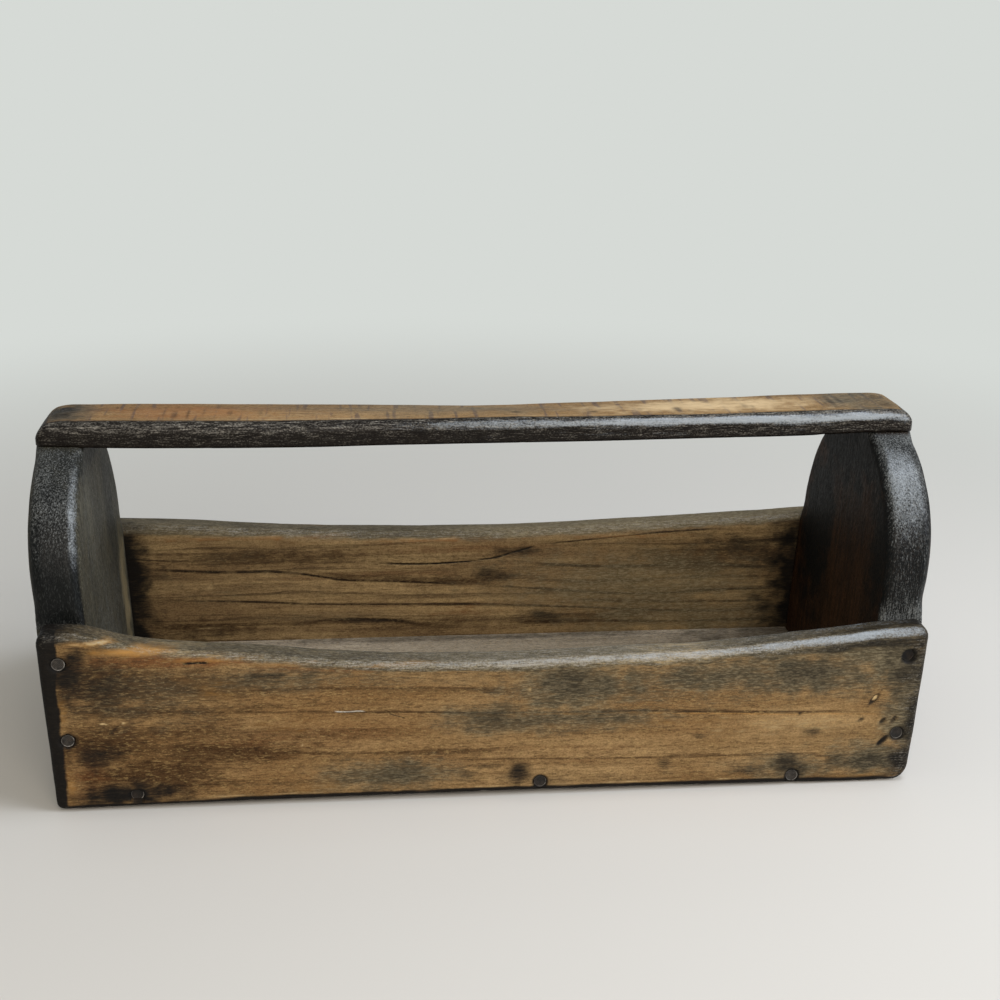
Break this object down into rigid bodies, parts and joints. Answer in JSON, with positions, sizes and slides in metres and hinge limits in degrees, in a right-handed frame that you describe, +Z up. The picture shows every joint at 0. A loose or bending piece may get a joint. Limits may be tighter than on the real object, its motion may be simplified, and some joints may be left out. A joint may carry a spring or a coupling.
{
  "type": "tool tote",
  "caption": "Open wooden tool tote: nailed side boards with worn, dipped top edges, round-topped ends, a plank bottom and a flat handle along its full length.",
  "frame": {"origin": "middle of the underside, on the surface that the tote stands on", "axes": "+X along the length to the right, +Y to the back, +Z up"},
  "size_m": [0.4706, 0.1832, 0.1894],
  "materials": {
    "side_pine": "aged waxed pine, warm brown with grey-black stains, satin where handled",
    "end_pine": "aged pine, almost black with handling and soot, end grain speckled",
    "bottom_pine": "aged pine, bare and dusty",
    "handle_pine": "hand-polished pine, light on top, black along its edges",
    "nail_steel": "blackened, lightly rusted steel"
  },
  "bodies": {
    "root": {"front_side": "side_pine", "back_side": "side_pine", "left_end": "end_pine", "right_end": "end_pine", "bottom_board": "bottom_pine", "handle": "handle_pine", "front_nail_upper_left": "nail_steel", "front_nail_lower_left": "nail_steel", "front_nail_upper_right": "nail_steel", "front_nail_lower_right": "nail_steel", "front_nail_bottom_left": "nail_steel", "front_nail_bottom_middle": "nail_steel", "front_nail_bottom_right": "nail_steel", "back_nail_upper_left": "nail_steel", "back_nail_lower_left": "nail_steel", "back_nail_upper_right": "nail_steel", "back_nail_lower_right": "nail_steel", "back_nail_bottom_left": "nail_steel", "back_nail_bottom_middle": "nail_steel", "back_nail_bottom_right": "nail_steel", "left_end_nail_front": "nail_steel", "left_end_nail_back": "nail_steel", "right_end_nail_front": "nail_steel", "right_end_nail_back": "nail_steel", "handle_nail_left_front": "nail_steel", "handle_nail_left_back": "nail_steel", "handle_nail_right_front": "nail_steel", "handle_nail_right_back": "nail_steel"}
  },
  "joints": []
}
